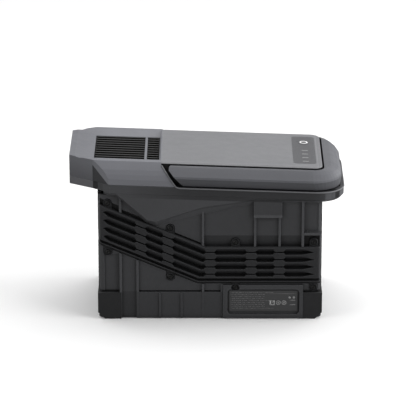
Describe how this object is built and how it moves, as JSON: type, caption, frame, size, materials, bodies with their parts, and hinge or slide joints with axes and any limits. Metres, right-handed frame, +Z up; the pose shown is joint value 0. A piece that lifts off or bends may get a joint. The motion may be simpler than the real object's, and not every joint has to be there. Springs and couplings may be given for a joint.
{
  "type": "portable power station",
  "caption": "Dark grey portable battery box under a wider sloping cap with a vent grille, power button, charge bars and a flush swing-up carrying handle.",
  "frame": {"origin": "on the ground, under the middle of the object", "axes": "+X towards the end of the handle, +Y to the back, +Z up"},
  "size_m": [0.2696, 0.1266, 0.1643],
  "materials": {
    "housing_plastic": "dark grey, fine moulded texture",
    "cover_plastic": "mid grey, fine moulded texture",
    "panel_plastic": "light grey, satin",
    "handle_plastic": "mid grey, satin",
    "dark_plastic": "near black, matte",
    "overlay_film": "grey, fine printed texture",
    "light_guide": "white translucent, smooth",
    "rubber": "near black, matte",
    "label_film": "dark grey film, satin",
    "fastener_steel": "blackened, slightly worn",
    "cell_wrap": "blue shrink wrap",
    "circuit_board": "green solder resist",
    "port_metal": "nickel plated",
    "heat_sink_aluminium": "extruded, plain"
  },
  "bodies": {
    "station": {"battery_lead_negative": "rubber", "battery_lead_positive": "rubber", "cell_group_1": "cell_wrap", "cell_group_2": "cell_wrap", "cell_group_3": "cell_wrap", "cell_group_4": "cell_wrap", "cell_group_5": "cell_wrap", "cell_group_6": "cell_wrap", "cell_group_7": "cell_wrap", "cell_group_8": "cell_wrap", "charge_light_guide": "light_guide", "control_board": "circuit_board", "control_overlay": "overlay_film", "dc_socket": "port_metal", "fan_frame": "dark_plastic", "front_cell_holder": "dark_plastic", "front_guard_screw_1": "fastener_steel", "front_guard_screw_2": "fastener_steel", "front_guard_screw_3": "fastener_steel", "front_guard_screw_4": "fastener_steel", "front_guard_screw_5": "fastener_steel", "front_guard_screw_6": "fastener_steel", "front_guard_screw_7": "fastener_steel", "front_guard_screw_8": "fastener_steel", "front_handle_pin": "fastener_steel", "front_left_foot": "rubber", "front_rib_guard": "housing_plastic", "front_right_foot": "rubber", "heat_sink": "heat_sink_aluminium", "housing_gasket": "rubber", "lower_housing": "housing_plastic", "main_board": "circuit_board", "port_board": "circuit_board", "port_door_pin": "fastener_steel", "rating_label": "label_film", "rear_cell_holder": "dark_plastic", "rear_guard_screw_1": "fastener_steel", "rear_guard_screw_2": "fastener_steel", "rear_guard_screw_3": "fastener_steel", "rear_guard_screw_4": "fastener_steel", "rear_guard_screw_5": "fastener_steel", "rear_guard_screw_6": "fastener_steel", "rear_guard_screw_7": "fastener_steel", "rear_guard_screw_8": "fastener_steel", "rear_handle_pin": "fastener_steel", "rear_left_foot": "rubber", "rear_rib_guard": "housing_plastic", "rear_right_foot": "rubber", "top_cover": "cover_plastic", "top_panel": "panel_plastic", "upper_housing": "housing_plastic", "usb_a_port_1": "port_metal", "usb_a_port_2": "port_metal", "usb_c_port": "port_metal", "vent_grille": "dark_plastic"},
    "handle_body": {"handle": "handle_plastic"},
    "power_button_body": {"power_button": "overlay_film", "power_button_ring": "light_guide"},
    "port_door_body": {"port_door": "cover_plastic"},
    "fan_rotor_body": {"fan_rotor": "dark_plastic"}
  },
  "joints": [
    {"name": "handle_swing", "type": "hinge", "parent": "station", "child": "handle_body", "pos_m": [-0.03135, 0, 0.1535], "axis": [0, -1, 0], "range_deg": [0, 90]},
    {"name": "power_press", "type": "slide", "parent": "station", "child": "power_button_body", "axis": [0, 0, -1], "range_m": [0, 0.0012], "stiffness_N_per_m": 600},
    {"name": "port_door_swing", "type": "hinge", "parent": "station", "child": "port_door_body", "pos_m": [-0.13335, 0, 0.1468], "axis": [0, -1, 0], "range_deg": [0, 90]},
    {"name": "fan_spin", "type": "hinge", "parent": "station", "child": "fan_rotor_body", "pos_m": [-0.07885, 0, 0.139], "axis": [0, 0, 1], "continuous": true}
  ]
}
